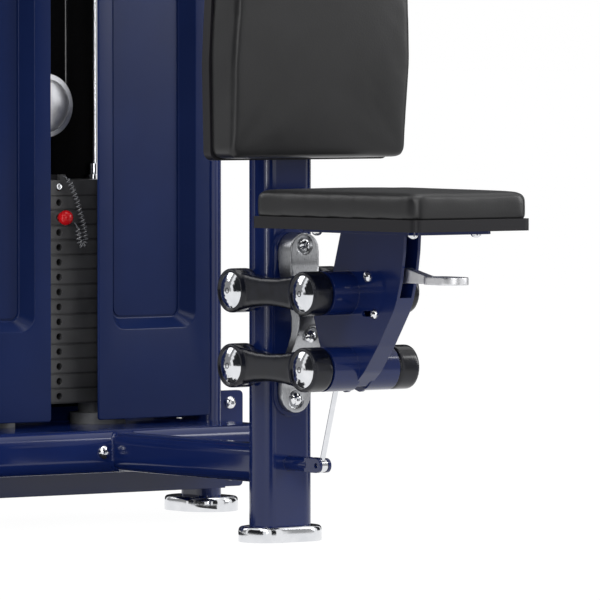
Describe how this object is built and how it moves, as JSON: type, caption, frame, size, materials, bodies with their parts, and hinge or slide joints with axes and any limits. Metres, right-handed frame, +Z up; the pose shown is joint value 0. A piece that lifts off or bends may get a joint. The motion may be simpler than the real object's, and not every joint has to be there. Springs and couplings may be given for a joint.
{
  "type": "pec deck machine",
  "caption": "Selectorised pec deck: weight tower behind a centre post, padded back and seat on parallel links with a gas spring, overhead swinging fly arms with hanging handles",
  "frame": {"origin": "on the floor under the middle of the machine's box", "axes": "+Z up, the user faces -Y, the user's left hand is at +X"},
  "size_m": [1.48, 1.2102, 1.77],
  "materials": {
    "navy_enamel": "glossy powder coat",
    "navy_shroud": "satin moulded shroud",
    "chrome_plate": "bright chrome",
    "plate_paint": "grey painted steel plate",
    "black_vinyl": "fine-grain upholstery vinyl",
    "black_board": "moulded backing board",
    "black_gloss": "gloss black casting",
    "black_paint": "black painted steel",
    "pulley_nylon": "turned nylon",
    "polished_alu": "polished disc",
    "cast_silver": "polished casting",
    "bronze_bush": "sintered bronze",
    "bumper_grey": "grey rubber",
    "grip_rubber": "ribbed grip",
    "knob_red": "gloss phenolic ball",
    "cable_coat": "nylon-coated wire rope"
  },
  "bodies": {
    "frame": {"post_tube": "navy_enamel", "feet": "chrome_plate", "spine_tube": "navy_enamel", "base_beam": "navy_enamel", "frame_bolts": "chrome_plate", "tower_tray": "navy_enamel", "uprights": "navy_enamel", "shroud_left": "navy_shroud", "shroud_right": "navy_shroud", "shroud_clips": "black_board", "rear_cover": "navy_shroud", "clamp_bar": "navy_enamel", "guide_rods": "chrome_plate", "stack_bumpers": "bumper_grey", "stack_plates": "plate_paint", "drop_brackets": "black_paint", "lift_cable": "cable_coat", "booms": "navy_enamel", "cross_beams": "navy_enamel", "arm_bushes": "bronze_bush", "post_shafts": "chrome_plate", "post_casting": "cast_silver", "pad_plate": "navy_enamel", "back_board": "black_board", "back_pad": "black_vinyl"},
    "lift": {"head_plate": "plate_paint", "lifted_plates": "plate_paint", "selector_stem": "chrome_plate", "rod_bushes": "chrome_plate", "pulley_hanger": "black_paint", "lanyard_cord": "cable_coat"},
    "pin": {"selector_pin": "chrome_plate", "pin_knob": "knob_red"},
    "float_wheel": {"floating_pulley": "pulley_nylon", "pulley_cover": "polished_alu"},
    "drop_wheel_left": {"drop_pulley_left": "pulley_nylon"},
    "drop_wheel_right": {"drop_pulley_right": "pulley_nylon"},
    "corner_wheel_left": {"corner_pulley_left": "pulley_nylon"},
    "corner_wheel_right": {"corner_pulley_right": "pulley_nylon"},
    "crank_left": {"cam_left": "cast_silver"},
    "crank_right": {"cam_right": "cast_silver"},
    "fly_left": {"arm_left": "navy_enamel"},
    "fly_right": {"arm_right": "navy_enamel"},
    "plunger_left": {"start_pin_left": "black_gloss"},
    "plunger_right": {"start_pin_right": "black_gloss"},
    "hand_left": {"handle_left": "chrome_plate", "grip_left": "grip_rubber"},
    "hand_right": {"handle_right": "chrome_plate", "grip_right": "grip_rubber"},
    "upper_link": {"links_upper": "black_gloss"},
    "lower_link": {"links_lower": "black_gloss"},
    "seat": {"seat_shafts": "chrome_plate", "seat_bracket": "navy_enamel", "seat_plate": "navy_enamel", "seat_bolts": "chrome_plate", "seat_board": "black_board", "seat_pad": "black_vinyl"},
    "lever": {"seat_lever": "chrome_plate"},
    "spring_rod": {"gas_rod": "chrome_plate"},
    "spring_body": {"gas_cylinder": "black_paint"}
  },
  "joints": [
    {"name": "fly_press", "type": "hinge", "parent": "frame", "child": "crank_left", "pos_m": [0.17, -0.25915, 1.7], "axis": [0, 0, -1], "range_deg": [0, 80], "deforming": ["lift_cable"]},
    {"name": "fly_press_right", "type": "hinge", "parent": "frame", "child": "crank_right", "pos_m": [-0.17, -0.25915, 1.7], "axis": [0, 0, 1], "range_deg": [0, 80]},
    {"name": "stack_lift", "type": "slide", "parent": "frame", "child": "lift", "axis": [0, 0, 1], "range_m": [0, 0.14]},
    {"name": "start_turn_left", "type": "hinge", "parent": "crank_left", "child": "fly_left", "pos_m": [0.17, -0.25915, 1.6], "axis": [0, 0, -1], "range_deg": [-30, 15]},
    {"name": "start_plunger_left", "type": "slide", "parent": "fly_left", "child": "plunger_left", "axis": [0, 0, 1], "range_m": [0, 0.014]},
    {"name": "handle_turn_left", "type": "hinge", "parent": "fly_left", "child": "hand_left", "pos_m": [0.71, -0.25915, 1.6], "axis": [0, 0, 1], "range_deg": [-60, 60]},
    {"name": "drop_spin_left", "type": "hinge", "parent": "frame", "child": "drop_wheel_left", "pos_m": [0.092, 0.53085, 1.709], "axis": [0, 1, 0], "range_deg": [0, 175]},
    {"name": "corner_spin_left", "type": "hinge", "parent": "frame", "child": "corner_wheel_left", "pos_m": [0.224, 0.48485, 1.755], "axis": [0, 0, -1], "range_deg": [0, 175]},
    {"name": "start_turn_right", "type": "hinge", "parent": "crank_right", "child": "fly_right", "pos_m": [-0.17, -0.25915, 1.6], "axis": [0, 0, 1], "range_deg": [-30, 15]},
    {"name": "start_plunger_right", "type": "slide", "parent": "fly_right", "child": "plunger_right", "axis": [0, 0, 1], "range_m": [0, 0.014]},
    {"name": "handle_turn_right", "type": "hinge", "parent": "fly_right", "child": "hand_right", "pos_m": [-0.71, -0.25915, 1.6], "axis": [0, 0, 1], "range_deg": [-60, 60]},
    {"name": "drop_spin_right", "type": "hinge", "parent": "frame", "child": "drop_wheel_right", "pos_m": [-0.092, 0.53085, 1.709], "axis": [0, -1, 0], "range_deg": [0, 175]},
    {"name": "corner_spin_right", "type": "hinge", "parent": "frame", "child": "corner_wheel_right", "pos_m": [-0.224, 0.48485, 1.755], "axis": [0, 0, 1], "range_deg": [0, 175]},
    {"name": "pin_pull", "type": "slide", "parent": "lift", "child": "pin", "axis": [0, -1, 0], "range_m": [0, 0.085]},
    {"name": "float_spin", "type": "hinge", "parent": "lift", "child": "float_wheel", "pos_m": [0, 0.53085, 0.666], "axis": [0, 1, 0], "continuous": true},
    {"name": "seat_lift", "type": "hinge", "parent": "frame", "child": "lower_link", "pos_m": [0, -0.12415, 0.273], "axis": [-1, 0, 0], "range_deg": [-14, 10]},
    {"name": "seat_lift_upper", "type": "hinge", "parent": "frame", "child": "upper_link", "pos_m": [0, -0.12415, 0.388], "axis": [-1, 0, 0], "range_deg": [-14, 10]},
    {"name": "seat_level", "type": "hinge", "parent": "lower_link", "child": "seat", "pos_m": [0, -0.31015, 0.273], "axis": [-1, 0, 0], "range_deg": [-10, 14]},
    {"name": "lever_pull", "type": "hinge", "parent": "seat", "child": "lever", "pos_m": [0, -0.36415, 0.414], "axis": [-1, 0, 0], "range_deg": [0, 10], "stiffness_Nm_per_rad": 6, "springref_deg": -20.05},
    {"name": "spring_tilt", "type": "hinge", "parent": "frame", "child": "spring_rod", "pos_m": [0, -0.22615, 0.121], "axis": [1, 0, 0], "range_deg": [-2.4, 3.2]},
    {"name": "spring_stroke", "type": "slide", "parent": "spring_rod", "child": "spring_body", "axis": [0, -0.3022, 0.9533], "range_m": [-0.046, 0.034]}
  ],
  "couplings": [
    {"joint": "fly_press_right", "follows": "fly_press", "ratio": 1},
    {"joint": "stack_lift", "follows": "fly_press", "m_per_rad": 0.1},
    {"joint": "drop_spin_left", "follows": "fly_press", "ratio": 2.1739},
    {"joint": "corner_spin_left", "follows": "fly_press", "ratio": 2.1739},
    {"joint": "drop_spin_right", "follows": "fly_press", "ratio": 2.1739},
    {"joint": "corner_spin_right", "follows": "fly_press", "ratio": 2.1739},
    {"joint": "seat_lift_upper", "follows": "seat_lift", "ratio": 1},
    {"joint": "seat_level", "follows": "seat_lift", "ratio": -1},
    {"joint": "spring_tilt", "follows": "seat_lift", "ratio": -0.205},
    {"joint": "spring_stroke", "follows": "seat_lift", "m_per_rad": 0.178}
  ]
}
